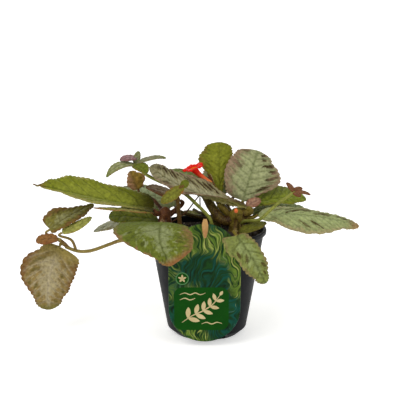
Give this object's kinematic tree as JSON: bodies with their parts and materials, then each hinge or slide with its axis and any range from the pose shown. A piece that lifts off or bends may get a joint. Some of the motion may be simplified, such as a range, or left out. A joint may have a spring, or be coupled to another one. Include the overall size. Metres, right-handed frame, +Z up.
{
  "type": "potted flame violet",
  "caption": "Flame violet house plant with quilted hairy leaves, runners with plantlets and one red flower, in a round plastic nursery pot with soil and a plant label.",
  "frame": {"origin": "centre of the pot's flat bottom, on the floor", "axes": "+Z up along the pot's axis, -Y towards the plant label, +X to the label's right as it is read"},
  "size_m": [0.3391, 0.2305, 0.1869],
  "materials": {
    "pot_plastic": "dark charcoal, slight sheen",
    "soil": "dark loose peat, matt",
    "label_print": "printed thin plastic, satin",
    "stem": "hairy reddish brown and olive skin, matt",
    "runner": "hairy yellow-green skin, matt",
    "petal": "velvety, matt",
    "sepal": "hairy, matt",
    "dried_leaf": "dry, matt",
    "leaf_green": "hairy quilted leaf, matt",
    "leaf_tan": "hairy quilted leaf, matt",
    "leaf_dark": "hairy quilted leaf, matt",
    "leaf_silver": "hairy quilted leaf, matt",
    "leaf_brown": "hairy quilted leaf, matt",
    "leaf_pink": "hairy quilted leaf, matt"
  },
  "bodies": {
    "root": {"pot": "pot_plastic", "soil": "soil", "plant_label": "label_print", "stems_left": "stem", "stems_right": "stem", "stems_back": "stem", "runner_left": "runner", "runner_top": "runner", "runner_right": "runner", "young_shoot": "stem", "flower_corolla": "petal", "flower_calyx": "sepal", "flower_bud": "petal", "dried_bract": "dried_leaf", "leaf_far_left": "leaf_green", "leaf_far_left_lower": "leaf_tan", "leaf_front_left": "leaf_green", "leaf_left_dark": "leaf_dark", "leaf_left_pale": "leaf_silver", "leaf_centre_long": "leaf_silver", "leaf_upright_green": "leaf_green", "leaf_upright_silver": "leaf_silver", "leaf_right_green": "leaf_green", "leaf_far_right": "leaf_silver", "leaf_front_right": "leaf_silver", "leaf_right_low": "leaf_dark", "leaf_left_tan": "leaf_tan", "leaf_brown_silver": "leaf_brown", "leaf_pink_small": "leaf_pink", "leaf_back_centre": "leaf_green", "leaf_back_upper_left": "leaf_silver", "leaf_back_upper_right": "leaf_green", "leaf_back_left": "leaf_silver", "leaf_back_right": "leaf_green", "leaf_back_hanging_left": "leaf_silver", "leaf_back_hanging_right": "leaf_green", "leaf_back_low_left": "leaf_dark", "plantlet_leaf_large": "leaf_brown", "plantlet_leaf_upper": "leaf_green", "plantlet_leaf_narrow": "leaf_green", "plantlet_leaf_orange": "leaf_tan"}
  },
  "joints": []
}
